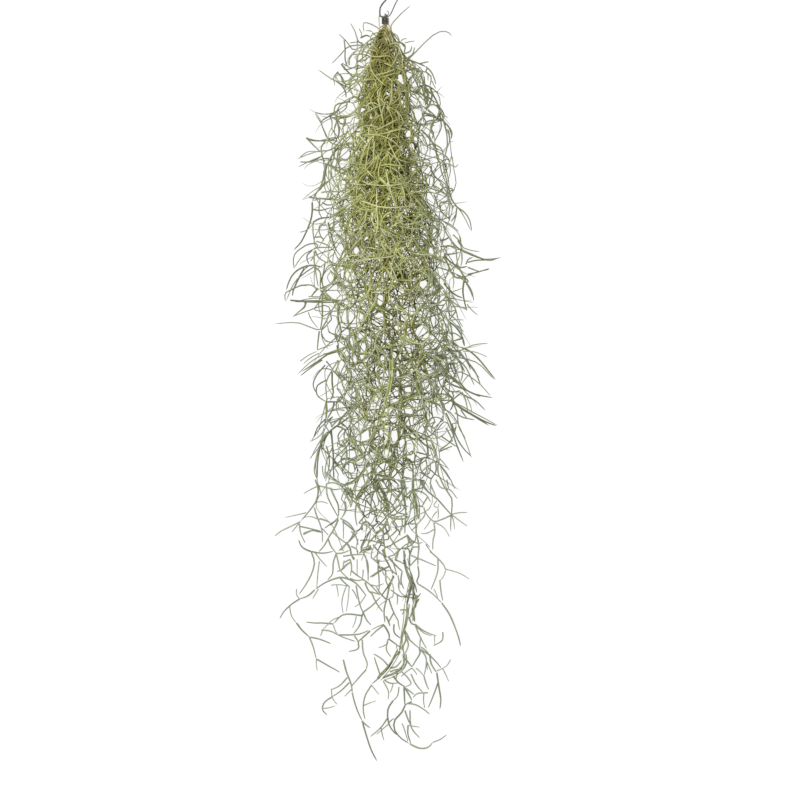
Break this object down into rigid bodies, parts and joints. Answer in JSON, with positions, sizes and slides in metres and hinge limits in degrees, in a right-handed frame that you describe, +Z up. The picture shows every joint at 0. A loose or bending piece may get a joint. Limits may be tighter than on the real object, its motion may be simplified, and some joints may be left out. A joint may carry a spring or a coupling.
{
  "type": "spanish moss bunch",
  "caption": "Long tapering bunch of tangled thread-like grey-green moss strands, bound with wire at one end under a small wire hanging loop and lying flat on a surface.",
  "frame": {"origin": "on the surface that the bunch lies on, under the middle of its length and width", "axes": "+Z up; +Y along the bunch towards its tied end and hanging loop; +X to the right seen from above with the tie at the top"},
  "size_m": [0.229, 0.7726, 0.0519],
  "materials": {
    "moss_olive": "matte, finely scaled olive-yellow moss strands",
    "moss_grey": "matte, finely scaled grey-green moss strands",
    "wire": "dark satin coated wire"
  },
  "bodies": {
    "root": {"moss_lock_1": "moss_grey", "moss_lock_2": "moss_grey", "moss_lock_3": "moss_grey", "moss_lock_4": "moss_grey", "moss_lock_5": "moss_olive", "moss_lock_6": "moss_olive", "moss_lock_7": "moss_olive", "hanging_loop": "wire", "binding_wire": "wire"}
  },
  "joints": []
}
